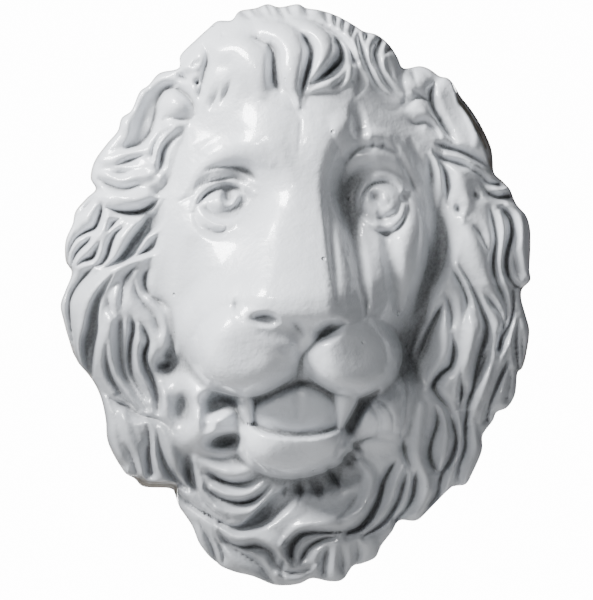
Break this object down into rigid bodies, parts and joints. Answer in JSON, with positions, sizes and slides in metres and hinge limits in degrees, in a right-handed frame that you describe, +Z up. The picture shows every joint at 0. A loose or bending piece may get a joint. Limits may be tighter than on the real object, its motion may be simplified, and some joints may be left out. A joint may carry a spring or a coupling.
{
  "type": "lion relief plaque",
  "caption": "Deep relief of a roaring lion's head with a full carved mane, cast in one piece with a flat back to be fixed to a wall.",
  "frame": {"origin": "on the flat back, where the plaque meets the wall, in the middle of its outline", "axes": "+Y into the wall, -Y out of the wall towards the viewer, +Z up, +X to the viewer's right"},
  "size_m": [0.4702, 0.2061, 0.5851],
  "materials": {
    "white_enamelled_concrete": "cast concrete under a glossy white enamel, greyer in the recesses"
  },
  "bodies": {
    "root": {"lion_head_relief": "white_enamelled_concrete"}
  },
  "joints": []
}
